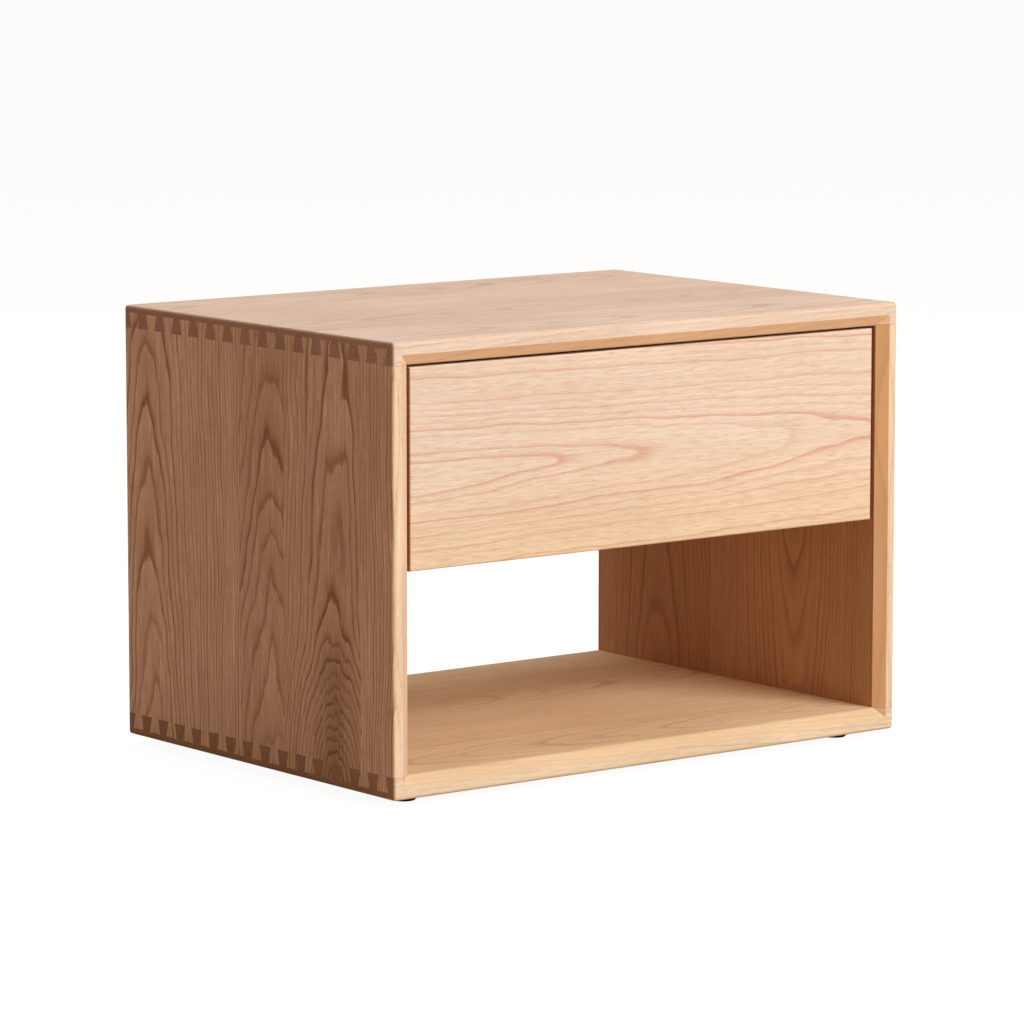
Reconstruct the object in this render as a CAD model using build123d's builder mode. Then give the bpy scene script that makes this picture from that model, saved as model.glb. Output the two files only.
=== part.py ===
from build123d import *
from math import atan, degrees
import os

os.makedirs("parts", exist_ok=True)

# ---------------------------------------------------------------------------
# Driving dimensions, in millimetres. X runs across the width, the front faces
# -Y, Z is up, and the floor is at Z = 0 under the middle of the nightstand.
# ---------------------------------------------------------------------------

WIDTH = 550.0
DEPTH = 395.0
CARCASS_HEIGHT = 380.0
FOOT_HEIGHT = 8.0

TOP_THICKNESS = 20.0  # top and bottom boards
SIDE_THICKNESS = 19.0
OUTER_EDGE_RADIUS = 3.0

# Front opening: a flat strip all round, then a bevel that falls inward
SIDE_STRIP = 9.0
TOP_STRIP = 11.0
BEVEL_DEPTH = 7.0

# Half-blind dovetails at the four corners, tails on the side boards
TAIL_COUNT = 15
TAIL_LENGTH = 14.0
TAIL_END_WIDTH = 15.5
TAIL_ROOT_WIDTH = 9.5
FIRST_TAIL = 16.4  # middle of the first tail from the front and from the back
SHOULDER_HOUSING = 0.5  # side boards' shoulders let into the top and bottom boards

# Drawer front
DRAWER_SIDE_GAP = 3.5
DRAWER_TOP_GAP = 2.5
DRAWER_SETBACK = 7.4
DRAWER_FRONT_HEIGHT = 169.0
DRAWER_FRONT_THICKNESS = 20.0
DRAWER_EDGE_RADIUS = 1.5
UNDERCUT_HEIGHT = 12.0  # sloped finger hold on the back of the lower edge
UNDERCUT_DEPTH = 9.0

# Divider under the drawer, and the back panel behind the drawer space
DIVIDER_THICKNESS = 15.0
FINGER_ROOM = 22.0  # divider's underside above the drawer front's lower edge
DIVIDER_CLEARANCE = 2.0  # between the divider and the back of the drawer front
HOUSING_DEPTH = 5.0
BACK_THICKNESS = 12.0
BACK_INSET = 3.0

# Drawer box
BOX_WALL = 12.0
BOX_HEIGHT = 118.0
BOX_LENGTH = 332.0
BOX_LIFT = 3.5  # box's lower edge above the divider
BOTTOM_THICKNESS = 6.0
BOTTOM_RISE = 8.0  # underside of the bottom above the box's lower edge
GROOVE_DEPTH = 6.0
BOX_TAIL_END_WIDTH = 14.0
BOX_TAIL_ROOT_WIDTH = 9.0
BOX_FRONT_TAILS = 5
BOX_BACK_TAILS = 4

# Ball-bearing slides with full extension. Depths are measured from the side
# board towards the drawer, heights from the slide's centre line.
SLIDE_LENGTH = 300.0
SLIDE_SPACE = 12.4
SLIDE_FRONT_GAP = 4.0  # slide's front end behind the drawer front
SLIDE_SHEET = 1.2
SLIDE_BEND_RADIUS = 1.0
MEMBER_CLEARANCE = 0.3
OUTER_HALF_HEIGHT = 22.75
MIDDLE_HALF_HEIGHT = 17.25
INNER_HALF_HEIGHT = 12.55
FLANGE_REACH = 10.0
INNER_FLANGE_REACH = 4.8
CABINET_LIP = -1.8  # turned towards the channel's middle
MIDDLE_LIP = 1.3  # turned away from it
CAGE_SHEET = 0.6
CAGE_LENGTH = SLIDE_LENGTH / 2
OUTER_CAGE_REACH = 8.0
INNER_CAGE_REACH = 10.6
BALLS_PER_ROW = 12
BALL_PITCH = 12.2
OUTER_BALL_RADIUS = 1.9
OUTER_BALL_DEPTH = 5.2
OUTER_BALL_HEIGHT = 19.4
INNER_BALL_RADIUS = 1.5
INNER_BALL_DEPTH = 8.0
INNER_BALL_HEIGHT = 14.3
POCKET_CLEARANCE = 0.05

# Feet
FOOT_RADIUS = 12.0
FOOT_INSET = 37.0  # middle of a foot from the board's edges
CUP_WALL = 2.0
CUP_FLOOR = 2.0
PAD_PROUD = 1.5  # felt standing out of the cup

# Countersunk wood screws: shank radius, head radius, length
SCREW_TIP = 3.0
RECESS_WIDTH = 0.9
RECESS_LENGTH_RATIO = 1.1
SLIDE_SCREW = (1.75, 3.4)
FRONT_SCREW = (2.0, 4.0)
BACK_SCREW = (1.75, 3.4)
BOTTOM_SCREW = (1.5, 2.9)
FOOT_SCREW = (1.5, 2.9)
CABINET_SCREW_LENGTH = 15.0
DRAWER_SCREW_LENGTH = 11.0
FRONT_SCREW_LENGTH = 26.0
BACK_SCREW_LENGTH = 30.0
BOTTOM_SCREW_LENGTH = 18.0
FOOT_SCREW_LENGTH = 16.0

# ---------------------------------------------------------------------------
# Positions worked out from the driving dimensions
# ---------------------------------------------------------------------------

CARCASS_TOP = FOOT_HEIGHT + CARCASS_HEIGHT
CARCASS_MIDDLE = FOOT_HEIGHT + CARCASS_HEIGHT / 2
FLOOR_TOP = FOOT_HEIGHT + TOP_THICKNESS
CEILING = CARCASS_TOP - TOP_THICKNESS
FRONT_Y = -DEPTH / 2
BACK_Y = DEPTH / 2
INNER_X = WIDTH / 2 - SIDE_THICKNESS

DRAWER_TOP = CEILING - DRAWER_TOP_GAP
DRAWER_LOW = DRAWER_TOP - DRAWER_FRONT_HEIGHT
DRAWER_FACE_Y = FRONT_Y + DRAWER_SETBACK
DRAWER_REAR_Y = DRAWER_FACE_Y + DRAWER_FRONT_THICKNESS

DIVIDER_LOW = DRAWER_LOW + FINGER_ROOM
DIVIDER_TOP = DIVIDER_LOW + DIVIDER_THICKNESS
BACK_REAR_Y = BACK_Y - BACK_INSET
BACK_FACE_Y = BACK_REAR_Y - BACK_THICKNESS

BOX_LOW = DIVIDER_TOP + BOX_LIFT
BOX_TOP = BOX_LOW + BOX_HEIGHT
BOX_X = INNER_X - SLIDE_SPACE
BOX_INNER_X = BOX_X - BOX_WALL
BOX_REAR_Y = DRAWER_REAR_Y + BOX_LENGTH
BOTTOM_LOW = BOX_LOW + BOTTOM_RISE
BOTTOM_TOP = BOTTOM_LOW + BOTTOM_THICKNESS

SLIDE_Z = BOX_LOW + BOX_HEIGHT / 2
SLIDE_FRONT_Y = DRAWER_REAR_Y + SLIDE_FRONT_GAP
SLIDE_MIDDLE_Y = SLIDE_FRONT_Y + SLIDE_LENGTH / 2
SLIDE_SCREW_STEP = SLIDE_LENGTH * 0.42  # from the middle screw to the end screws

# Near face of the intermediate member's web
MIDDLE_WEB = SLIDE_SHEET + 2 * MEMBER_CLEARANCE + CAGE_SHEET
CUP_HEIGHT = FOOT_HEIGHT - PAD_PROUD

SIDES = (("left", -1), ("right", 1))
TAIL_PITCH = (DEPTH - 2 * FIRST_TAIL) / (TAIL_COUNT - 1)


# ---------------------------------------------------------------------------
# Shared shapes
# ---------------------------------------------------------------------------


def span_box(x, y, z, mode=Mode.ADD):
    """A block given by its two limits along each axis."""
    with Locations(((x[0] + x[1]) / 2, (y[0] + y[1]) / 2, (z[0] + z[1]) / 2)):
        Box(x[1] - x[0], y[1] - y[0], z[1] - z[0], mode=mode)


def tail(end_width, root_width, length, turn):
    """One dovetail with its wide end turned from straight down by `turn` degrees."""
    flank = degrees(atan(2 * length / (end_width - root_width)))
    Trapezoid(end_width, length, flank, rotation=turn)


def screw_outline(sizes, length):
    """Half section of a countersunk screw, head up, for a revolve about Z."""
    shank, head = sizes
    with BuildLine() as outline:
        Polyline(
            (0, 0),
            (head, 0),
            (shank, shank - head),
            (shank, SCREW_TIP - length),
            (0, -length),
            close=True,
        )
    make_face(outline.edges())


def wood_screw(sizes, length):
    """A countersunk screw with a cross recess, its head's face at the origin."""
    shank, head = sizes
    recess_length = RECESS_LENGTH_RATIO * head
    with BuildPart() as screw:
        with BuildSketch(Plane.XZ):
            screw_outline(sizes, length)
        revolve(axis=Axis.Z)
        with BuildSketch(Plane.XY):
            Rectangle(recess_length, RECESS_WIDTH)
            Rectangle(RECESS_WIDTH, recess_length)
        extrude(amount=shank - head, mode=Mode.SUBTRACT)
    return screw.part


def screw_hole(sizes, length):
    """The hole that a screw fills, cut at the current locations."""
    shank, head = sizes
    CounterSinkHole(shank, head, depth=length, counter_sink_angle=90)


def channel(depths, half_height, lip, sheet):
    """Section of a bent channel: web, two flanges, and a lip on each flange's free edge.

    depths are the middle of the web and the free edge of the flanges; a positive
    lip turns away from the channel's middle, a negative one towards it.
    """
    web, free = depths
    flange = half_height - sheet / 2
    outline = [(web, -flange), (web, flange), (free, flange)]
    points = [(free, -flange)] + outline
    if lip:
        points = [(free, -flange - lip)] + points + [(free, flange + lip)]
    with BuildLine() as centre_line:
        FilletPolyline(*points, radius=SLIDE_BEND_RADIUS)
    trace(lines=centre_line.line, line_width=sheet)


# Outer block of the carcass with its eased edges: the boards are cut to it
with BuildPart() as carcass_block:
    span_box((-WIDTH / 2, WIDTH / 2), (FRONT_Y, BACK_Y), (FOOT_HEIGHT, CARCASS_TOP))
    fillet(carcass_block.edges(), OUTER_EDGE_RADIUS)

# Space cut away by the bevel round the front opening
with BuildPart() as bevel_space:
    with BuildSketch(Plane.XZ.offset(-FRONT_Y)):
        with Locations((0, CARCASS_MIDDLE)):
            Rectangle(WIDTH - 2 * SIDE_STRIP, CARCASS_HEIGHT - 2 * TOP_STRIP)
    with BuildSketch(Plane.XZ.offset(-FRONT_Y - BEVEL_DEPTH)):
        with Locations((0, CARCASS_MIDDLE)):
            Rectangle(2 * INNER_X, CEILING - FLOOR_TOP)
    loft()

# ---------------------------------------------------------------------------
# Screws, placed where each pair of pieces is fastened
# ---------------------------------------------------------------------------

slide_screw_rows = [SLIDE_MIDDLE_Y + step * SLIDE_SCREW_STEP for step in (-1, 0, 1)]

# Heads sit flush in the cabinet members and point into the side boards
cabinet_screw_places = [
    Plane(origin=(sign * (INNER_X - SLIDE_SHEET), y, SLIDE_Z), x_dir=(0, 1, 0), z_dir=(-sign, 0, 0))
    for _, sign in SIDES
    for y in slide_screw_rows
]
# Heads sit flush in the drawer members and point into the drawer sides
drawer_screw_places = [
    Plane(origin=(sign * (BOX_X + SLIDE_SHEET), y, SLIDE_Z), x_dir=(0, 1, 0), z_dir=(sign, 0, 0))
    for _, sign in SIDES
    for y in slide_screw_rows
]
# From inside the box front into the drawer front
front_screw_places = [
    Plane(
        origin=(x * BOX_X * 0.7, DRAWER_REAR_Y + BOX_WALL, SLIDE_Z + z * BOX_HEIGHT * 0.25),
        x_dir=(1, 0, 0),
        z_dir=(0, 1, 0),
    )
    for x in (-1, 1)
    for z in (-1, 1)
]
# From behind through the back panel into the divider's rear edge
back_screw_places = [
    Plane(
        origin=(x * INNER_X * 0.42, BACK_REAR_Y, (DIVIDER_LOW + DIVIDER_TOP) / 2),
        x_dir=(1, 0, 0),
        z_dir=(0, 1, 0),
    )
    for x in (-2, -1, 0, 1, 2)
]
# From below through the drawer bottom into the drawer back
bottom_screw_places = [
    Plane(
        origin=(x * BOX_INNER_X * 0.8, BOX_REAR_Y - BOX_WALL / 2, BOTTOM_LOW),
        x_dir=(1, 0, 0),
        z_dir=(0, 0, -1),
    )
    for x in (-1, 0, 1)
]
foot_places = {
    f"{row}_{side}": (sign * (WIDTH / 2 - FOOT_INSET), end * (BACK_Y - FOOT_INSET))
    for row, end in (("front", -1), ("back", 1))
    for side, sign in SIDES
}
# Up through each foot's cup into the bottom board
foot_screw_places = [
    Plane(origin=(x, y, FOOT_HEIGHT - CUP_FLOOR), x_dir=(1, 0, 0), z_dir=(0, 0, -1))
    for x, y in foot_places.values()
]

screw_groups = (
    ("slide_cabinet_screws", SLIDE_SCREW, CABINET_SCREW_LENGTH, cabinet_screw_places),
    ("slide_drawer_screws", SLIDE_SCREW, DRAWER_SCREW_LENGTH, drawer_screw_places),
    ("drawer_front_screws", FRONT_SCREW, FRONT_SCREW_LENGTH, front_screw_places),
    ("back_panel_screws", BACK_SCREW, BACK_SCREW_LENGTH, back_screw_places),
    ("drawer_bottom_screws", BOTTOM_SCREW, BOTTOM_SCREW_LENGTH, bottom_screw_places),
    ("foot_screws", FOOT_SCREW, FOOT_SCREW_LENGTH, foot_screw_places),
)
for node, sizes, length, places in screw_groups:
    one_screw = wood_screw(sizes, length)
    with BuildPart() as screws:
        with Locations(*places):
            add(one_screw)
    screws.part.label = node
    export_step(screws.part, f"parts/{node}.step")

# ---------------------------------------------------------------------------
# Carcass
# ---------------------------------------------------------------------------

# Divider (dust panel) housed in the side boards, under the drawer
with BuildPart() as divider_panel:
    span_box(
        (-INNER_X - HOUSING_DEPTH, INNER_X + HOUSING_DEPTH),
        (DRAWER_REAR_Y + DIVIDER_CLEARANCE, BACK_FACE_Y),
        (DIVIDER_LOW, DIVIDER_TOP),
    )
    with Locations(*back_screw_places):
        screw_hole(BACK_SCREW, BACK_SCREW_LENGTH)
divider_panel.part.label = "divider_panel"
export_step(divider_panel.part, "parts/divider_panel.step")

# Back panel, housed in the side boards and covering the divider's rear edge
with BuildPart() as back_panel:
    span_box(
        (-INNER_X - HOUSING_DEPTH, INNER_X + HOUSING_DEPTH),
        (BACK_FACE_Y, BACK_REAR_Y),
        (DIVIDER_LOW, CEILING),
    )
    with Locations(*back_screw_places):
        screw_hole(BACK_SCREW, BACK_SCREW_LENGTH)
back_panel.part.label = "back_panel"
export_step(back_panel.part, "parts/back_panel.step")

# Side boards with a row of tails at the top and at the bottom
side_height = CEILING - FLOOR_TOP + 2 * SHOULDER_HOUSING
side_panels = {}
for side, sign in SIDES:
    left_face_x = (sign * (WIDTH - SIDE_THICKNESS) - SIDE_THICKNESS) / 2
    with BuildPart() as side_panel:
        with BuildSketch(Plane.YZ.offset(left_face_x)):
            with Locations((0, CARCASS_MIDDLE)):
                Rectangle(DEPTH, side_height)
            for tail_z, turn in ((CEILING + TAIL_LENGTH / 2, 180), (FLOOR_TOP - TAIL_LENGTH / 2, 0)):
                with Locations((0, tail_z)), GridLocations(TAIL_PITCH, 1, TAIL_COUNT, 1):
                    tail(TAIL_END_WIDTH, TAIL_ROOT_WIDTH, TAIL_LENGTH, turn)
        extrude(amount=SIDE_THICKNESS)
        add(divider_panel.part, mode=Mode.SUBTRACT)
        add(back_panel.part, mode=Mode.SUBTRACT)
        with Locations(*cabinet_screw_places):
            screw_hole(SLIDE_SCREW, CABINET_SCREW_LENGTH)
        add(bevel_space.part, mode=Mode.SUBTRACT)
        add(carcass_block.part, mode=Mode.INTERSECT)
    side_panels[side] = side_panel.part
    side_panel.part.label = f"{side}_side_panel"
    export_step(side_panel.part, f"parts/{side}_side_panel.step")

# Top board: its ends hold the sockets that the side boards' tails fill
with BuildPart() as top_panel:
    span_box((-WIDTH / 2, WIDTH / 2), (FRONT_Y, BACK_Y), (CEILING, CARCASS_TOP))
    for panel in side_panels.values():
        add(panel, mode=Mode.SUBTRACT)
    add(bevel_space.part, mode=Mode.SUBTRACT)
    add(carcass_block.part, mode=Mode.INTERSECT)
top_panel.part.label = "top_panel"
export_step(top_panel.part, "parts/top_panel.step")

# Bottom board, with the same sockets turned over
with BuildPart() as bottom_panel:
    span_box((-WIDTH / 2, WIDTH / 2), (FRONT_Y, BACK_Y), (FOOT_HEIGHT, FLOOR_TOP))
    for panel in side_panels.values():
        add(panel, mode=Mode.SUBTRACT)
    with Locations(*foot_screw_places):
        screw_hole(FOOT_SCREW, FOOT_SCREW_LENGTH)
    add(bevel_space.part, mode=Mode.SUBTRACT)
    add(carcass_block.part, mode=Mode.INTERSECT)
bottom_panel.part.label = "bottom_panel"
export_step(bottom_panel.part, "parts/bottom_panel.step")

# ---------------------------------------------------------------------------
# Feet: a plastic cup screwed to the bottom board, with a felt pad in it
# ---------------------------------------------------------------------------

for corner, (foot_x, foot_y) in foot_places.items():
    with BuildPart() as foot_cup:
        with BuildSketch(Plane.XY.offset(PAD_PROUD)):
            with Locations((foot_x, foot_y)):
                Circle(FOOT_RADIUS)
        extrude(amount=CUP_HEIGHT)
        chamfer(foot_cup.faces().sort_by(Axis.Z)[0].edges(), 0.8)
        with BuildSketch(Plane.XY.offset(PAD_PROUD)):
            with Locations((foot_x, foot_y)):
                Circle(FOOT_RADIUS - CUP_WALL)
        extrude(amount=CUP_HEIGHT - CUP_FLOOR, mode=Mode.SUBTRACT)
        with Locations(*foot_screw_places):
            screw_hole(FOOT_SCREW, FOOT_SCREW_LENGTH)
    foot_cup.part.label = f"{corner}_foot_cup"
    export_step(foot_cup.part, f"parts/{corner}_foot_cup.step")

    with BuildPart() as felt_pad:
        with BuildSketch(Plane.XY):
            with Locations((foot_x, foot_y)):
                Circle(FOOT_RADIUS - CUP_WALL)
        extrude(amount=FOOT_HEIGHT - CUP_FLOOR)
        fillet(felt_pad.faces().sort_by(Axis.Z)[0].edges(), 0.5)
    felt_pad.part.label = f"{corner}_felt_pad"
    export_step(felt_pad.part, f"parts/{corner}_felt_pad.step")

# ---------------------------------------------------------------------------
# Drawer
# ---------------------------------------------------------------------------

# Drawer front, with eased edges and a sloped finger hold behind its lower edge
with BuildPart() as drawer_front:
    span_box(
        (-INNER_X + DRAWER_SIDE_GAP, INNER_X - DRAWER_SIDE_GAP),
        (DRAWER_FACE_Y, DRAWER_REAR_Y),
        (DRAWER_LOW, DRAWER_TOP),
    )
    lower_rear_edge = drawer_front.edges().filter_by(Axis.X).group_by(Axis.Z)[0].sort_by(Axis.Y)[-1]
    bottom_face = drawer_front.faces().sort_by(Axis.Z)[0]
    chamfer(lower_rear_edge, UNDERCUT_DEPTH, UNDERCUT_HEIGHT, reference=bottom_face)
    fillet(drawer_front.faces().sort_by(Axis.Y)[0].edges(), DRAWER_EDGE_RADIUS)
    with Locations(*front_screw_places):
        screw_hole(FRONT_SCREW, FRONT_SCREW_LENGTH)
drawer_front.part.label = "drawer_front"
export_step(drawer_front.part, "parts/drawer_front.step")

# Thin bottom, in grooves in the sides and the box front, and under the back
with BuildPart() as drawer_bottom:
    span_box(
        (-BOX_INNER_X - GROOVE_DEPTH, BOX_INNER_X + GROOVE_DEPTH),
        (DRAWER_REAR_Y + BOX_WALL - GROOVE_DEPTH, BOX_REAR_Y),
        (BOTTOM_LOW, BOTTOM_TOP),
    )
    with Locations(*bottom_screw_places):
        screw_hole(BOTTOM_SCREW, BOTTOM_SCREW_LENGTH)
drawer_bottom.part.label = "drawer_bottom"
export_step(drawer_bottom.part, "parts/drawer_bottom.step")

# Drawer sides, with tails at both ends
front_tail_pitch = BOX_HEIGHT / BOX_FRONT_TAILS
back_tail_pitch = (BOX_TOP - BOTTOM_TOP) / BOX_BACK_TAILS
drawer_sides = {}
for side, sign in SIDES:
    left_face_x = (sign * (2 * BOX_X - BOX_WALL) - BOX_WALL) / 2
    with BuildPart() as drawer_side:
        with BuildSketch(Plane.YZ.offset(left_face_x)):
            with Locations(((DRAWER_REAR_Y + BOX_REAR_Y) / 2, (BOX_LOW + BOX_TOP) / 2)):
                Rectangle(BOX_LENGTH - 2 * BOX_WALL, BOX_HEIGHT)
            with Locations((BOX_REAR_Y - BOX_WALL / 2, (BOX_LOW + BOTTOM_TOP) / 2)):
                Rectangle(BOX_WALL, BOTTOM_TOP - BOX_LOW)
            front_end = (DRAWER_REAR_Y + BOX_WALL / 2, (BOX_LOW + BOX_TOP) / 2)
            with Locations(front_end), GridLocations(1, front_tail_pitch, 1, BOX_FRONT_TAILS):
                tail(BOX_TAIL_END_WIDTH, BOX_TAIL_ROOT_WIDTH, BOX_WALL, turn=-90)
            rear_end = (BOX_REAR_Y - BOX_WALL / 2, (BOTTOM_TOP + BOX_TOP) / 2)
            with Locations(rear_end), GridLocations(1, back_tail_pitch, 1, BOX_BACK_TAILS):
                tail(BOX_TAIL_END_WIDTH, BOX_TAIL_ROOT_WIDTH, BOX_WALL, turn=90)
        extrude(amount=BOX_WALL)
        add(drawer_bottom.part, mode=Mode.SUBTRACT)
        with Locations(*drawer_screw_places):
            screw_hole(SLIDE_SCREW, DRAWER_SCREW_LENGTH)
    drawer_sides[side] = drawer_side.part
    drawer_side.part.label = f"drawer_{side}_side"
    export_step(drawer_side.part, f"parts/drawer_{side}_side.step")

# Front and back walls of the drawer box, each cut by the sides' tails
with BuildPart() as drawer_box_front:
    span_box((-BOX_X, BOX_X), (DRAWER_REAR_Y, DRAWER_REAR_Y + BOX_WALL), (BOX_LOW, BOX_TOP))
    for drawer_side_part in drawer_sides.values():
        add(drawer_side_part, mode=Mode.SUBTRACT)
    add(drawer_bottom.part, mode=Mode.SUBTRACT)
    with Locations(*front_screw_places):
        screw_hole(FRONT_SCREW, FRONT_SCREW_LENGTH)
drawer_box_front.part.label = "drawer_box_front"
export_step(drawer_box_front.part, "parts/drawer_box_front.step")

with BuildPart() as drawer_back:
    span_box((-BOX_X, BOX_X), (BOX_REAR_Y - BOX_WALL, BOX_REAR_Y), (BOTTOM_TOP, BOX_TOP))
    for drawer_side_part in drawer_sides.values():
        add(drawer_side_part, mode=Mode.SUBTRACT)
    with Locations(*bottom_screw_places):
        screw_hole(BOTTOM_SCREW, BOTTOM_SCREW_LENGTH)
drawer_back.part.label = "drawer_back"
export_step(drawer_back.part, "parts/drawer_back.step")

# ---------------------------------------------------------------------------
# Ball-bearing slides, one on each side of the drawer
# ---------------------------------------------------------------------------

# Middle of the web and free edge of the flanges, half height, and lip of each section
half_sheet = SLIDE_SHEET / 2
half_cage = CAGE_SHEET / 2
flange_edge = FLANGE_REACH - half_sheet
drawer_web = SLIDE_SPACE - half_sheet
slide_members = (
    ("cabinet_member", (half_sheet, flange_edge), OUTER_HALF_HEIGHT, CABINET_LIP),
    ("middle_member", (MIDDLE_WEB + half_sheet, flange_edge), MIDDLE_HALF_HEIGHT, MIDDLE_LIP),
    ("drawer_member", (drawer_web, INNER_FLANGE_REACH), INNER_HALF_HEIGHT, 0),
)
outer_cage_web = SLIDE_SHEET + MEMBER_CLEARANCE + half_cage
inner_cage_web = MIDDLE_WEB + SLIDE_SHEET + MEMBER_CLEARANCE + half_cage
outer_cage_depths = (outer_cage_web, OUTER_CAGE_REACH)
inner_cage_depths = (inner_cage_web, INNER_CAGE_REACH)
slide_bearings = (
    ("outer", outer_cage_depths, OUTER_BALL_RADIUS, OUTER_BALL_DEPTH, OUTER_BALL_HEIGHT),
    ("inner", inner_cage_depths, INNER_BALL_RADIUS, INNER_BALL_DEPTH, INNER_BALL_HEIGHT),
)
first_ball_y = SLIDE_MIDDLE_Y - (BALLS_PER_ROW - 1) / 2 * BALL_PITCH

for side, sign in SIDES:
    # Local X runs from the side board towards the drawer, local Y is up
    section_plane = Plane(
        origin=(sign * INNER_X, SLIDE_MIDDLE_Y, SLIDE_Z), x_dir=(-sign, 0, 0), z_dir=(0, sign, 0)
    )
    for member, depths, half_height, lip in slide_members:
        with BuildPart() as slide_member:
            with BuildSketch(section_plane):
                channel(depths, half_height, lip, SLIDE_SHEET)
            extrude(amount=SLIDE_LENGTH / 2, both=True)
            if member == "cabinet_member":
                with Locations(*cabinet_screw_places):
                    screw_hole(SLIDE_SCREW, CABINET_SCREW_LENGTH)
            if member == "drawer_member":
                with Locations(*drawer_screw_places):
                    screw_hole(SLIDE_SCREW, DRAWER_SCREW_LENGTH)
        slide_member.part.label = f"{side}_slide_{member}"
        export_step(slide_member.part, f"parts/{side}_slide_{member}.step")

    for race, depths, ball_radius, ball_depth, ball_height in slide_bearings:
        ball_x = sign * (INNER_X - ball_depth)
        ball_places = [
            (ball_x, first_ball_y + step * BALL_PITCH, SLIDE_Z + row * ball_height)
            for row in (-1, 1)
            for step in range(BALLS_PER_ROW)
        ]
        with BuildPart() as ball_cage:
            with BuildSketch(section_plane):
                channel(depths, ball_height + half_cage, 0, CAGE_SHEET)
            extrude(amount=CAGE_LENGTH / 2, both=True)
            with Locations(*ball_places):
                Cylinder(ball_radius + POCKET_CLEARANCE, 2 * ball_radius, mode=Mode.SUBTRACT)
        ball_cage.part.label = f"{side}_slide_{race}_cage"
        export_step(ball_cage.part, f"parts/{side}_slide_{race}_cage.step")

        with BuildPart() as balls:
            with Locations(*ball_places):
                Sphere(ball_radius)
        balls.part.label = f"{side}_slide_{race}_balls"
        export_step(balls.part, f"parts/{side}_slide_{race}_balls.step")
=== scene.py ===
"""The looks of the oak nightstand: finishes for every CAD node, a pale floor, soft light and the camera."""

from math import cos, radians, sin

import bpy
from mathutils import Matrix, Vector


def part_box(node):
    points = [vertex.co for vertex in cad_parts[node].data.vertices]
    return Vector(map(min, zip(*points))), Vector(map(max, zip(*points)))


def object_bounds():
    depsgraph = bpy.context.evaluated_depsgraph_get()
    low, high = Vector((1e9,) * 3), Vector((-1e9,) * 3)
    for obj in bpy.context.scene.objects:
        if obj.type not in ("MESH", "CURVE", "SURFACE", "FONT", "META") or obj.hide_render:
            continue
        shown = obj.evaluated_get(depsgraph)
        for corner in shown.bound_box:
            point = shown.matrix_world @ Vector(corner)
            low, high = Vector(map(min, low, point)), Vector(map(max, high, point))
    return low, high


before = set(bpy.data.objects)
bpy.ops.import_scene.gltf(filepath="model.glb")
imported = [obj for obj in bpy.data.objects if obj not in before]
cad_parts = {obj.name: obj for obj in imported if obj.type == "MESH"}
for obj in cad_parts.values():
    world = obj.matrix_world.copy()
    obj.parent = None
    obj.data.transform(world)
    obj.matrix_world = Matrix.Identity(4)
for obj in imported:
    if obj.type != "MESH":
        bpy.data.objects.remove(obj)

CAD_BOX = [list(corner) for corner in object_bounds()]
LOW, HIGH = (Vector(corner) for corner in CAD_BOX)
CENTRE = (LOW + HIGH) / 2
BOARD_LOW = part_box("bottom_panel")[0].z


# ---------------------------------------------------------------- node trees


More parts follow.
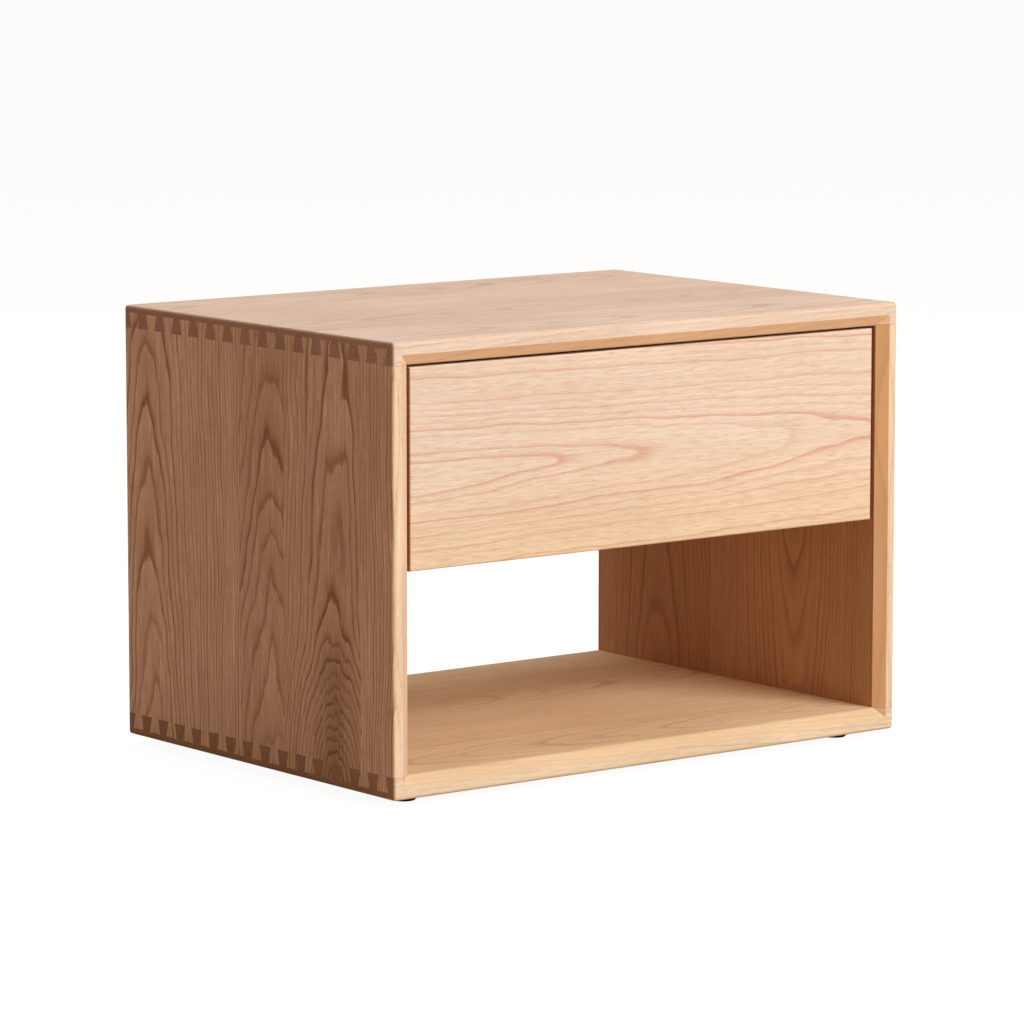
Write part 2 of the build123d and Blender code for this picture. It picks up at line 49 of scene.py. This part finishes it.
class Nodes:
    """A short way to write a material's nodes.

    Any input takes a number, a tuple or another node's output."""

    def __init__(self, name):
        self.material = bpy.data.materials.new(name)
        self.material.use_nodes = True
        self.tree = self.material.node_tree
        self.tree.nodes.clear()
        self.shader = self.add("ShaderNodeBsdfPrincipled")
        output = self.add("ShaderNodeOutputMaterial")
        self.tree.links.new(self.shader.outputs[0], output.inputs[0])

    def add(self, kind, inputs=None, **settings):
        node = self.tree.nodes.new(kind)
        for key, value in settings.items():
            setattr(node, key, value)
        for key, value in (inputs or {}).items():
            self.feed(node.inputs[key], value)
        return node

    def feed(self, socket, value):
        if isinstance(value, bpy.types.NodeSocket):
            self.tree.links.new(value, socket)
        else:
            socket.default_value = value

    def math(self, operation, a, b=0.0, clamp=False):
        node = self.add("ShaderNodeMath", {0: a, 1: b}, operation=operation, use_clamp=clamp)
        return node.outputs[0]

    def plus(self, a, b):
        return self.math("ADD", a, b)

    def times(self, a, b):
        return self.math("MULTIPLY", a, b)

    def linear(self, value, scale, shift):
        node = self.add("ShaderNodeMath", {0: value, 1: scale, 2: shift}, operation="MULTIPLY_ADD")
        return node.outputs[0]

    def step(self, value, low, high, at_low=0.0, at_high=1.0):
        """A smooth step from at_low to at_high as the value goes from low to high."""
        inputs = {"Value": value, 1: low, 2: high, 3: at_low, 4: at_high}
        return self.add("ShaderNodeMapRange", inputs, interpolation_type="SMOOTHSTEP").outputs[0]

    def vector(self, x, y, z):
        return self.add("ShaderNodeCombineXYZ", {0: x, 1: y, 2: z}).outputs[0]

    def stretched(self, parts, scales):
        return self.vector(*(self.times(part, scale) for part, scale in zip(parts, scales)))

    def noise(self, vector, scale=1.0, detail=2.0, roughness=0.5):
        inputs = {"Vector": vector, "Scale": scale, "Detail": detail, "Roughness": roughness}
        return self.add("ShaderNodeTexNoise", inputs).outputs[0]

    def ramp(self, value, stops, interpolation="LINEAR"):
        node = self.add("ShaderNodeValToRGB", {0: value})
        ramp = node.color_ramp
        ramp.interpolation = interpolation
        while len(ramp.elements) < len(stops):
            ramp.elements.new(0.5)
        for element, (position, _) in zip(ramp.elements, stops):
            element.position = position
        for element, (_, colour) in zip(ramp.elements, stops):
            element.color = colour if len(colour) == 4 else (*colour, 1.0)
        return node

    def mix(self, factor, a, b, blend="MIX"):
        inputs = {0: factor, 6: self.colour(a), 7: self.colour(b)}
        node = self.add("ShaderNodeMix", inputs, data_type="RGBA", blend_type=blend)
        return node.outputs[2]

    def colour(self, value):
        return (*value, 1.0) if isinstance(value, tuple) and len(value) == 3 else value

    def bump(self, height, strength, distance):
        inputs = {"Height": height, "Strength": strength, "Distance": distance}
        self.feed(self.shader.inputs["Normal"], self.add("ShaderNodeBump", inputs).outputs[0])

    def finish(self, **values):
        for key, value in values.items():
            self.feed(self.shader.inputs[key.replace("_", " ")], self.colour(value))
        return self.material

    def place(self):
        """The point in the row frame, in metres, and the normal there, without its signs.

        Both stay with the piece as it moves."""
        coordinates = self.add("ShaderNodeTexCoord")
        point = self.add("ShaderNodeSeparateXYZ", {0: coordinates.outputs["Object"]}).outputs
        normal = self.add("ShaderNodeSeparateXYZ", {0: coordinates.outputs["Normal"]}).outputs
        return coordinates.outputs["Object"], point, [self.math("ABSOLUTE", n) for n in normal]

    def edges(self, normal):
        """1 on rounded edges, where the normal leaves all three axes, and 0 on the flats."""
        most = self.math("MAXIMUM", self.math("MAXIMUM", normal[0], normal[1]), normal[2])
        return self.step(most, 0.99, 0.80)


# ---------------------------------------------------------------- wood

AXES = {"x": 0, "y": 1, "z": 2}
EDGE = 0.0035  # the carcass's rounded outer edges lie this close to its outside
GLUE_LINE = (0.18, 0.07, 0.035)
GLUE_CORE, GLUE_EDGE = 0.0001, 0.00055  # how far a glue line is full, and where it has faded out
RIPPLE = 0.004  # how far curly grain swings to either side
CENTRE_SPAN = 0.8  # the spans that a stave's numbers are scaled by to fit a colour ramp
DEPTH_SPAN = 0.25
TAPER_SPAN = 1.0
RING_PROFILE = ((0.0, 0.0), (0.05, 0.80), (0.13, 1.0), (0.24, 0.50), (0.42, 0.16), (0.75, 0.03), (1.0, 0.0))


def oak(
    name,
    axes,
    face,
    staves,
    light,
    line,
    ring=0.004,
    lines=0.6,
    wave=0.006,
    swirl=None,
    hairlines=(),
    mottle=0.5,
    end=(0.50, 0.42, 0.36),
    grain=1.0,
    faint=0.25,
    ticks=0.0,
    glints=0.0,
    front=(1.0, 1.0, 1.0),
    facet_painted_light=(1.0, 1.0, 1.0),
    rim_painted_light=(1.0, 1.0, 1.0),
    calm=0.0,
    painted_bounce_tint=None,
    roughness=0.58,
):
    """Oak, as a solid pattern: growth rings round a pith, cut by the board, with pores and fibres
    along the grain.

    axes: the axes of the grain, the width and the thickness.
    face: where the show face is, and which way is in.
    staves: rows of (where it begins across the width, where its pith is across the width, the pith's
        depth under the show face, how fast that grows along the grain, tone), then where the last one ends.
    light, line: the colours between the rings and of them; lines is the rings' strength.
    ring, wave: the rings' spacing, and how far they wander.
    swirl: curly grain, as (where the pith begins to sink, where it stops, how far it sinks, the stave's
        two sides, the curl's middle, its reach).
    hairlines: glue lines, as (axis, where on it, axis along which it is limited, from, to).
    mottle, grain: the strength of the clouds and of the fibres; end tints the end grain.
    faint: the weakest ring's strength; ticks and glints: short dark dashes and long pale streaks.
    front, facet, rim: painted light and shade, as tints for faces that look to the front or back, for
    bevels and for the carcass's rounded outer edges; calm quietens the grain on the first two.
    drift: painted light, a change of colour across the width, as (from, to, tint at the first, tint at the
    second)."""
    n = Nodes(name)
    _, point, normal = n.place()
    u, v, w = (point[AXES[a]] for a in axes)
    w = n.linear(w, face[1], -face[0] * face[1])
    first, last = staves[0][0], staves[-1][0]
    rows = [
        (
            (begin - first) / (last - first),
            (pith / CENTRE_SPAN + 0.5, depth / DEPTH_SPAN, taper / TAPER_SPAN + 0.5, tone),
        )
        for begin, pith, depth, taper, tone in staves[:-1]
    ]
    across = n.add("ShaderNodeMapRange", {"Value": v, 1: first, 2: last}).outputs[0]
    table = n.ramp(across, rows, "CONSTANT")
    entry = n.add("ShaderNodeSeparateColor", {0: table.outputs[0]}).outputs
    pith = n.linear(entry[0], CENTRE_SPAN, -CENTRE_SPAN / 2)
    depth = n.times(entry[1], DEPTH_SPAN)
    taper = n.linear(entry[2], TAPER_SPAN, -TAPER_SPAN / 2)
    tone = table.outputs[1]
    shifted = n.plus(u, n.linear(entry[0], 7.0, n.times(entry[1], 5.0)))

    slow = n.noise(n.stretched((shifted, v, w), (5, 14, 14)), detail=2)
    uneven = n.noise(n.stretched((shifted, v, w), (9, 26, 26)), detail=2)
    side = n.plus(n.math("SUBTRACT", v, pith), n.linear(slow, 2 * wave, -wave))
    deep = n.plus(n.plus(depth, n.times(taper, u)), n.plus(w, n.linear(uneven, wave, -wave / 2)))
    if swirl:
        low, high, height, left, right, centre, reach = swirl
        in_stave = n.times(n.math("GREATER_THAN", v, left), n.math("LESS_THAN", v, right))
        by_curl = n.step(n.math("ABSOLUTE", n.plus(v, -centre)), reach, 0.0)
        curly = n.times(by_curl, n.step(u, high + 0.02, high - 0.06))
        crinkles = n.noise(n.stretched((shifted, v, w), (14, 120, 120)), detail=1)
        ripple = n.linear(crinkles, 2 * RIPPLE, -RIPPLE)
        sunk = n.times(in_stave, n.step(u, low, high, 0.0, height))
        deep = n.plus(deep, n.plus(sunk, n.times(curly, ripple)))
    radius = n.math("SQRT", n.plus(n.times(side, side), n.times(deep, deep)))
    fine = n.noise(n.stretched((shifted, v, w), (40, 220, 220)), detail=3, roughness=0.6)
    rings = n.plus(n.times(radius, 1 / ring), n.linear(fine, 0.22, -0.11))
    profile = n.ramp(n.math("FRACT", rings), [(p, (h, h, h)) for p, h in RING_PROFILE])
    year = n.add("ShaderNodeTexWhiteNoise", {"W": n.math("FLOOR", rings)}, noise_dimensions="1D")
    strength = n.linear(year.outputs[0], 1 - faint, faint)
    early = n.times(profile.outputs[0], strength)

    streaks = n.noise(n.stretched((shifted, v, w), (12, 380, 380)), detail=3, roughness=0.6)
    dashes = n.noise(n.stretched((shifted, v, w), (62, 1050, 1050)), detail=2, roughness=0.6)
    pits = n.noise(n.stretched((shifted, v, w), (190, 4200, 4200)), detail=1)
    pores = n.times(n.step(pits, 0.56, 0.68), n.linear(early, 0.75, 0.25))
    clouds = n.noise(n.stretched((shifted, v, w), (6, 22, 22)), detail=2)

    # Faces that look to the front or back, and bevels: these get the painted light and shade tints below,
    # and calmer grain.
    ahead = n.step(normal[1], 0.75, 0.95)
    sloping = n.times(n.step(normal[1], 0.55, 0.70), n.step(normal[1], 0.95, 0.86))
    beside = n.linear(n.math("ABSOLUTE", point[0]), 1.0, EDGE - HIGH.x)
    above = n.plus(point[2], EDGE - HIGH.z)
    above_or_below = n.math("MAXIMUM", above, n.linear(point[2], -1.0, BOARD_LOW + EDGE))
    outer = n.math("GREATER_THAN", n.math("MAXIMUM", beside, above_or_below), 0.0)
    slanted = n.times(sloping, n.linear(outer, -1.0, 1.0))
    quiet = n.linear(n.math("MAXIMUM", ahead, slanted), -calm, 1.0)
    dark = tuple(c * less for c, less in zip(light, (0.82, 0.76, 0.68)))
    colour = n.mix(n.step(clouds, 0.30, 0.72, 0, mottle), light, dark)
    broken = n.times(early, n.linear(dashes, 1.3, 0.35))
    colour = n.mix(n.times(n.times(broken, lines), quiet), colour, line)
    long_fibres = n.linear(streaks, 0.36 * grain, -0.18 * grain)
    fibre = n.plus(long_fibres, n.linear(dashes, 0.5 * grain, -0.25 * grain))
    shade = n.times(n.plus(n.times(fibre, quiet), 1.0), n.linear(tone, 0.5, 0.75))
    if swirl:
        shade = n.times(shade, n.linear(curly, -0.36, 1.0))
    if ticks:
        short = n.noise(n.stretched((shifted, v, w), (52, 720, 720)), detail=1)
        colour = n.mix(n.step(short, 0.50, 0.64, 0, ticks), colour, line)
    if glints:
        shade = n.times(shade, n.step(streaks, 0.55, 0.66, 1 - 0.15 * glints, 1 + glints))
    warmed = n.vector(shade, n.math("POWER", shade, 1.25), n.math("POWER", shade, 1.5))
    colour = n.mix(1.0, colour, warmed, "MULTIPLY")
    # Painted light: a tint that changes across the width.
    if painted_bounce_tint:
        drift_low, drift_high, tint_low, tint_high = painted_bounce_tint
        passed = n.step(v, drift_low, drift_high)
        colour = n.mix(1.0, colour, n.mix(passed, tint_low, tint_high), "MULTIPLY")
    # Painted light and shade: faces that look to the front or back, and bevels, are tinted board by board
    # to the light that falls on them.
    colour = n.mix(ahead, colour, n.mix(1.0, colour, front, "MULTIPLY"))
    colour = n.mix(slanted, colour, n.mix(1.0, colour, facet_painted_light, "MULTIPLY"))
    colour = n.mix(n.times(pores, 0.42 * grain), colour, tuple(c * 0.45 for c in line))
    cut = n.step(normal[AXES[axes[0]]], 0.50, 0.85)
    specks = n.linear(n.noise(n.stretched((u, v, w), (60, 1600, 1600)), detail=2), 0.5, 0.75)
    sawn = n.mix(1.0, n.mix(1.0, colour, end, "MULTIPLY"), n.vector(specks, specks, specks), "MULTIPLY")
    colour = n.mix(cut, colour, sawn)
    rubbed = n.edges(normal)
    wear = n.times(rubbed, n.linear(slow, 0.35, 0.05))
    colour = n.mix(wear, colour, light)
    # Painted light and shade on the carcass's rounded outer edges: lighter on the left side, darker on the
    # top.
    colour = n.mix(n.times(rubbed, outer), colour, n.mix(1.0, colour, rim_painted_light, "MULTIPLY"))
    for line_axis, line_at, limit_axis, limit_low, limit_high in hairlines:
        away = n.math("ABSOLUTE", n.plus(point[AXES[line_axis]], -line_at))
        near = n.step(away, GLUE_CORE, GLUE_EDGE, 1, 0)
        inside = n.times(
            n.math("GREATER_THAN", point[AXES[limit_axis]], limit_low),
            n.math("LESS_THAN", point[AXES[limit_axis]], limit_high),
        )
        glue = n.times(n.times(near, inside), n.linear(dashes, 0.8, -0.1))
        colour = n.mix(glue, colour, GLUE_LINE)
    height = n.plus(n.times(pores, -0.8), n.plus(n.times(early, -0.25), n.times(dashes, 0.25)))
    n.bump(height, 0.35, 0.0003)
    dulled = n.plus(n.times(pores, 0.2), n.times(rubbed, -0.05))
    gloss = n.plus(n.linear(streaks, 0.14, roughness - 0.07), dulled)
    return n.finish(Base_Color=colour, Roughness=gloss, Specular_IOR_Level=0.3)


# ---------------------------------------------------------------- other finishes


def metal(name, base, dull, roughness, along=None, scale=300):
    """Plated steel: cloudy plating, fine drawing lines along one axis and small dull spots."""
    n = Nodes(name)
    where, point, normal = n.place()
    clouds = n.noise(where, scale=70, detail=4, roughness=0.6)
    stretch = [6.0 if a == along else scale for a in "xyz"]
    drawn = n.noise(n.stretched(point, stretch), detail=3, roughness=0.65)
    spots = n.step(n.noise(where, scale=420, detail=2), 0.62, 0.74)
    colour = n.mix(n.step(clouds, 0.35, 0.65), base, dull)
    colour = n.mix(n.times(spots, 0.35), colour, tuple(c * 0.55 for c in dull))
    colour = n.mix(n.times(n.edges(normal), 0.4), colour, tuple(min(1, c * 1.2) for c in base))
    gloss = n.plus(n.linear(drawn, 0.22, roughness - 0.11), n.times(spots, 0.15))
    n.bump(drawn, 0.15, 0.0001)
    return n.finish(Base_Color=colour, Roughness=gloss, Metallic=1.0)


def plastic(name, base, roughness, scale=900):
    """Moulded plastic: a fine spark-eroded texture, slight cloudiness and paler rounded edges."""
    n = Nodes(name)
    where, _, normal = n.place()
    clouds = n.noise(where, scale=60, detail=3)
    texture = n.noise(where, scale=scale, detail=3, roughness=0.6)
    colour = n.mix(n.step(clouds, 0.3, 0.7, 0, 0.6), base, tuple(c * 0.7 for c in base))
    colour = n.mix(n.times(n.edges(normal), 0.3), colour, tuple(min(1, c * 1.6 + 0.01) for c in base))
    n.bump(texture, 0.25, 0.0002)
    return n.finish(Base_Color=colour, Roughness=n.linear(texture, 0.25, roughness - 0.12))


def felt(name, base):
    """Pressed wool felt: tangled fibres, flecks and a matt nap."""
    n = Nodes(name)
    where, _, _ = n.place()
    tangle = n.noise(where, scale=1400, detail=5, roughness=0.7)
    tufts = n.add("ShaderNodeTexVoronoi", {"Vector": where, "Scale": 900.0}).outputs[0]
    flecks = n.step(n.noise(where, scale=2600, detail=2), 0.6, 0.72)
    colour = n.mix(n.step(tangle, 0.3, 0.7), base, tuple(c * 0.5 for c in base))
    colour = n.mix(n.times(flecks, 0.5), colour, tuple(min(1, c * 2.4 + 0.02) for c in base))
    n.bump(n.plus(tangle, tufts), 0.8, 0.0005)
    return n.finish(Base_Color=colour, Roughness=n.linear(tangle, 0.1, 0.88), Sheen_Weight=0.4)


def plywood(name, light, line, layer=0.0012):
    """Birch plywood: a plain rotary-cut face, and glued layers on the edges."""
    n = Nodes(name)
    _, point, normal = n.place()
    u, v, w = point
    slow = n.noise(n.stretched((u, v, w), (2.2, 9, 9)), detail=2)
    flame = n.math("SINE", n.plus(n.times(v, 240), n.linear(slow, 44, n.times(u, 6))))
    fibre = n.noise(n.stretched((u, v, w), (14, 600, 600)), detail=3, roughness=0.6)
    colour = n.mix(n.linear(flame, 0.14, 0.16), light, line)
    shade = n.linear(fibre, 0.36, 0.82)
    colour = n.mix(1.0, colour, n.vector(shade, shade, shade), "MULTIPLY")
    plies = n.step(n.math("PINGPONG", w, layer), 0.45 * layer, 0.55 * layer)
    layers = n.mix(plies, tuple(c * 0.85 for c in light), tuple(c * 0.55 for c in line))
    colour = n.mix(n.step(normal[2], 0.6, 0.4), colour, layers)
    n.bump(fibre, 0.25, 0.0002)
    return n.finish(Base_Color=colour, Roughness=n.linear(fibre, 0.15, 0.5))


# ---------------------------------------------------------------- which board is cut how

# The carcass boards are glued up from staves. Each row is a stave's beginning, pith, depth, taper and tone.
LEFT_STAVES = [
    (-0.1975, -0.300, 0.060, 0.03, 0.54),
    (-0.1525, -0.115, 0.0120, 0.035, 0.48),
    (-0.0420, -0.026, 0.0757, 0.085, 0.38),
    (0.0220, 0.190, 0.050, 0.02, 0.66),
    (0.0850, 0.160, 0.040, 0.070, 0.70),
    (0.1975,),
]
RIGHT_STAVES = [
    (-0.1975, -0.330, 0.040, 0.02, 0.58),
    (-0.1300, -0.085, 0.050, -0.070, 0.56),
    (-0.0150, -0.170, 0.045, 0.03, 0.52),
    (0.0320, 0.110, 0.060, 0.050, 0.26),
    (0.1650, 0.330, 0.060, 0.02, 0.48),
    (0.1975,),
]
TOP_STAVES = [
    (-0.1975, -0.150, 0.060, 0.055, 0.56),
    (-0.0900, -0.040, 0.050, -0.060, 0.46),
    (0.0100, 0.140, 0.070, 0.04, 0.56),
    (0.1050, 0.150, 0.055, 0.060, 0.52),
    (0.1975,),
]
BOTTOM_STAVES = [
    (-0.1975, -0.155, 0.055, -0.060, 0.56),
    (-0.1050, 0.060, 0.060, 0.03, 0.50),
    (0.0050, 0.055, 0.050, 0.070, 0.56),
    (0.1100, 0.300, 0.070, 0.02, 0.50),
    (0.1975,),
]
FRONT_STAVE = [(0.190, 0.276, 0.0195, 0.066, 0.50), (0.370,)]


def one_board(pith, depth=0.06, taper=0.04):
    """The single stave of a board behind the drawer front."""
    return [(0.2, pith, depth, taper, 0.5), (0.37,)]


# The top's wood colour is paler and pinker than the other boards: a painted sheen, standing in for the
# glancing reflection on the top.
TOP_LIGHT_PAINTED_SHEEN = (0.715, 0.545, 0.435)
TOP_LINE = (0.48, 0.26, 0.17)
CARCASS_LIGHT = (0.72, 0.49, 0.295)
# The bottom board's wood colour is lighter than the rest of the carcass: painted light on the shelf in the
# lower opening.
BOTTOM_LIGHT_PAINTED_LIT = (0.90, 0.66, 0.40)
CARCASS_LINE = (0.46, 0.23, 0.13)
LEFT_LIGHT = (0.725, 0.53, 0.385)
LEFT_LINE = (0.31, 0.145, 0.075)
# The right side board's wood colour is darker and redder than the rest of the carcass: painted shade on its
# inner face.
RIGHT_LIGHT_PAINTED_SHADE = (0.63, 0.36, 0.205)
RIGHT_LINE = (0.30, 0.14, 0.07)
FRONT_LIGHT = (0.77, 0.63, 0.482)
FRONT_LINE = (0.60, 0.24, 0.15)
BOX_LIGHT = (0.70, 0.50, 0.32)
BOX_LINE = (0.48, 0.30, 0.17)
BOARD_THICKNESS = 0.020
RIGHT_INSIDE = 0.256  # the inner face of the right side board
JOINT_HEIGHTS = (0.3605, 0.0195)  # the corner joints, which show as glue lines on the front only
FRONT_STRIP = (-0.20, -0.18)
JOINT_LINES = [("z", BOARD_LOW + height, "y", *FRONT_STRIP) for height in JOINT_HEIGHTS]

top_oak = oak(
    "oak_top",
    "xyz",
    (HIGH.z, -1),
    TOP_STAVES,
    TOP_LIGHT_PAINTED_SHEEN,
    TOP_LINE,
    lines=0.5,
    # Painted light and shade: a lighter front edge, warm painted bounce light on the bevels, and painted
    # shade that damps the highlight on the rounded edges.
    front=(1.075, 1.15, 1.165),
    facet_painted_light=(1.23, 1.03, 0.70),
    rim_painted_light=(0.90, 0.88, 0.82),
    end=(0.60, 0.50, 0.48),
    calm=0.4,
    hairlines=JOINT_LINES,
)
bottom_oak = oak(
    "oak_bottom",
    "xyz",
    (BOARD_LOW + BOARD_THICKNESS, -1),
    BOTTOM_STAVES,
    BOTTOM_LIGHT_PAINTED_LIT,
    CARCASS_LINE,
    lines=0.4,
    # Painted light and shade: the front edge is tinted cooler and the bevels darker, taking back the
    # shelf's painted light there.
    front=(0.91, 1.01, 1.16),
    end=(0.41, 0.345, 0.36),
    facet_painted_light=(0.79, 0.79, 0.77),
    calm=0.4,
    hairlines=JOINT_LINES,
)
left_oak = oak(
    "oak_left_side",
    "zyx",
    (LOW.x, 1),
    LEFT_STAVES,
    LEFT_LIGHT,
    LEFT_LINE,
    lines=1.0,
    wave=0.011,
    grain=1.6,
    faint=0.35,
    glints=0.10,
    # Painted light: the front edge and the rounded outer edges are tinted lighter than the side, which is
    # in shade.
    front=(1.22, 1.31, 1.28),
    rim_painted_light=(1.27, 1.34, 1.32),
    calm=0.8,
    swirl=(-0.020, 0.150, 0.042, -0.1525, -0.0420, -0.115, 0.042),
    hairlines=JOINT_LINES,
)
right_oak = oak(
    "oak_right_side",
    "zyx",
    (RIGHT_INSIDE, 1),
    RIGHT_STAVES,
    RIGHT_LIGHT_PAINTED_SHADE,
    RIGHT_LINE,
    lines=0.8,
    # Painted light: the front edge is tinted much lighter, taking back the painted shade there, and the
    # bevels warmer.
    front=(1.22, 1.61, 1.92),
    facet_painted_light=(1.02, 0.93, 0.68),
    calm=0.6,
    hairlines=JOINT_LINES,
)
FRONT_FACE = (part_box("drawer_front")[0].y, 1)
front_oak = oak(
    "oak_drawer_front",
    "xzy",
    FRONT_FACE,
    FRONT_STAVE,
    FRONT_LIGHT,
    FRONT_LINE,
    ring=0.006,
    lines=0.64,
    wave=0.010,
    mottle=0.25,
    grain=0.7,
    faint=-0.35,
    ticks=0.22,
    # End grain tinted redder and lighter than on the other boards: partly the end grain's own darker
    # colour, partly a painted warm glow in the gaps round the drawer front.
    end=(0.72, 0.44, 0.26),
    # Painted bounce light: warmer low on the drawer front, cooler higher up.
    painted_bounce_tint=(0.19, 0.30, (1.0, 0.98, 0.86), (1.0, 1.03, 1.07)),
)
DIVIDER_FACE = (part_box("divider_panel")[0].z, 1)
divider_oak = oak(
    "oak_divider",
    "xyz",
    DIVIDER_FACE,
    BOTTOM_STAVES,
    CARCASS_LIGHT,
    CARCASS_LINE,
    lines=0.45,
)
BACK_FACE = (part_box("back_panel")[1].y, -1)
back_oak = oak("oak_back_panel", "xzy", BACK_FACE, one_board(0.30), CARCASS_LIGHT, CARCASS_LINE)
BOX_FRONT_FACE = (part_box("drawer_box_front")[0].y, 1)
box_front_oak = oak("oak_box_front", "xzy", BOX_FRONT_FACE, one_board(0.33), BOX_LIGHT, BOX_LINE)
BOX_BACK_FACE = (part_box("drawer_back")[0].y, 1)
BOX_BACK_STAVE = one_board(0.25, 0.05, -0.05)
box_back_oak = oak("oak_box_back", "xzy", BOX_BACK_FACE, BOX_BACK_STAVE, BOX_LIGHT, BOX_LINE, lines=0.4)
BOX_SIDE_FACE = (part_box("drawer_left_side")[0].x, 1)
BOX_SIDE_STAVE = one_board(0.25, 0.05, 0.03)
box_side_oak = oak("oak_box_sides", "yzx", BOX_SIDE_FACE, BOX_SIDE_STAVE, BOX_LIGHT, BOX_LINE, lines=0.4)
ply = plywood("birch_plywood", (0.66, 0.50, 0.33), (0.50, 0.34, 0.20))
zinc = metal("zinc_plate", (0.78, 0.79, 0.80), (0.68, 0.69, 0.71), 0.40, along="y")
bright_steel = metal("ball_steel", (0.70, 0.70, 0.71), (0.60, 0.60, 0.61), 0.16)
screw_steel = metal("screw_steel", (0.60, 0.58, 0.52), (0.42, 0.40, 0.36), 0.36)
cage_plastic = plastic("cage_plastic", (0.035, 0.035, 0.038), 0.42)
cup_plastic = plastic("cup_plastic", (0.050, 0.026, 0.016), 0.45)
brown_felt = felt("brown_felt", (0.055, 0.034, 0.024))

FINISHES = {
    "top_panel": top_oak,
    "bottom_panel": bottom_oak,
    "left_side_panel": left_oak,
    "right_side_panel": right_oak,
    "divider_panel": divider_oak,
    "back_panel": back_oak,
    "drawer_front": front_oak,
    "drawer_box_front": box_front_oak,
    "drawer_back": box_back_oak,
    "drawer_left_side": box_side_oak,
    "drawer_right_side": box_side_oak,
    "drawer_bottom": ply,
}
ENDINGS = {
    "_member": zinc,
    "_balls": bright_steel,
    "_cage": cage_plastic,
    "_screws": screw_steel,
    "_foot_cup": cup_plastic,
    "_felt_pad": brown_felt,
}
for node_name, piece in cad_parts.items():
    finish = FINISHES.get(node_name) or next(m for end, m in ENDINGS.items() if node_name.endswith(end))
    for material_slot in piece.material_slots:
        material_slot.material = finish


# ---------------------------------------------------------------- floor, light and camera

FLOOR_RADIUS = 40.0
FLOOR_DROP = 0.0002  # keeps the floor clear of the undersides of the feet
bpy.ops.mesh.primitive_circle_add(vertices=96, radius=FLOOR_RADIUS, fill_type="NGON")
floor = bpy.context.object
floor.location.z = -FLOOR_DROP
floor.name = "studio_floor"

pale = Nodes("pale_floor")
pale.finish(Base_Color=(0.42, 0.31, 0.22), Roughness=0.9)
glow = pale.add("ShaderNodeEmission", {"Color": (1.0, 1.0, 1.0, 1.0), "Strength": 1.10})
lit = pale.add("ShaderNodeBsdfDiffuse", {"Color": (0.9, 0.9, 0.9, 1.0)})
seen = pale.add("ShaderNodeMixShader", {0: 0.14})
pale.feed(seen.inputs[1], glow.outputs[0])
pale.feed(seen.inputs[2], lit.outputs[0])
rays = pale.add("ShaderNodeLightPath")
either = pale.add("ShaderNodeMixShader", {0: rays.outputs["Is Camera Ray"]})
pale.feed(either.inputs[1], pale.shader.outputs[0])
pale.feed(either.inputs[2], seen.outputs[0])
surface = next(node for node in pale.tree.nodes if node.type == "OUTPUT_MATERIAL")
pale.feed(surface.inputs[0], either.outputs[0])
floor.data.materials.append(pale.material)

world = bpy.data.worlds.new("studio")
bpy.context.scene.world = world
world.use_nodes = True
sky = world.node_tree
background = next(node for node in sky.nodes if node.type == "BACKGROUND")
background.inputs[0].default_value = (1.0, 0.56, 0.36, 1.0)
background.inputs[1].default_value = 0.26
white = sky.nodes.new("ShaderNodeBackground")
white.inputs[1].default_value = 1.0
chooser = sky.nodes.new("ShaderNodeMixShader")
path = sky.nodes.new("ShaderNodeLightPath")
world_output = next(node for node in sky.nodes if node.type == "OUTPUT_WORLD")
sky.links.new(path.outputs["Is Camera Ray"], chooser.inputs[0])
sky.links.new(background.outputs[0], chooser.inputs[1])
sky.links.new(white.outputs[0], chooser.inputs[2])
sky.links.new(chooser.outputs[0], world_output.inputs[0])


def softbox(name, place, aim, size, watts, colour):
    data = bpy.data.lights.new(name, "AREA")
    data.shape = "RECTANGLE"
    data.size, data.size_y = size
    data.energy = watts
    data.color = colour
    lamp = bpy.data.objects.new(name, data)
    lamp.location = place
    lamp.rotation_euler = (Vector(aim) - Vector(place)).to_track_quat("-Z", "Y").to_euler()
    bpy.context.scene.collection.objects.link(lamp)


softbox("key_softbox", (1.2, -3.6, 2.2), CENTRE, (2.4, 2.0), 172, (1.0, 0.99, 0.98))
softbox("top_softbox", (0.2, 0.4, 3.2), CENTRE, (2.6, 2.6), 62, (0.80, 0.93, 1.0))
softbox("side_softbox", (-3.4, 0.6, 1.6), CENTRE, (1.6, 1.6), 9, (1.0, 0.74, 0.56))
softbox("back_softbox", (0.0, 3.6, 1.0), CENTRE, (2.0, 1.2), 7, (1.0, 0.98, 0.95))

CAMERA_AZIMUTH = radians(-37.70)
CAMERA_ELEVATION = radians(7.976)
CAMERA_DISTANCE = 4.5509
CAMERA_LENS = 181.80
SENSOR_WIDTH = 36.0
CLIP_END = 200.0
AIM_RIGHT, AIM_UP = 0.0002, 0.0055
HALF_CARCASS = 0.190
CARCASS_CENTRE = Vector((0, 0, BOARD_LOW + HALF_CARCASS))
back = Vector(
    (
        sin(CAMERA_AZIMUTH) * cos(CAMERA_ELEVATION),
        -cos(CAMERA_AZIMUTH) * cos(CAMERA_ELEVATION),
        sin(CAMERA_ELEVATION),
    )
)
right = Vector((0, 0, 1)).cross(back).normalized()
up = back.cross(right)
camera_data = bpy.data.cameras.new("camera")
camera_data.lens = CAMERA_LENS
camera_data.sensor_width = SENSOR_WIDTH
camera_data.clip_end = CLIP_END
camera = bpy.data.objects.new("camera", camera_data)
bpy.context.scene.collection.objects.link(camera)
camera.rotation_euler = Matrix((right, up, back)).transposed().to_euler()
camera.location = CARCASS_CENTRE + back * CAMERA_DISTANCE + right * AIM_RIGHT + up * AIM_UP
bpy.context.scene.camera = camera
bpy.context.scene.view_settings.view_transform = "Standard"
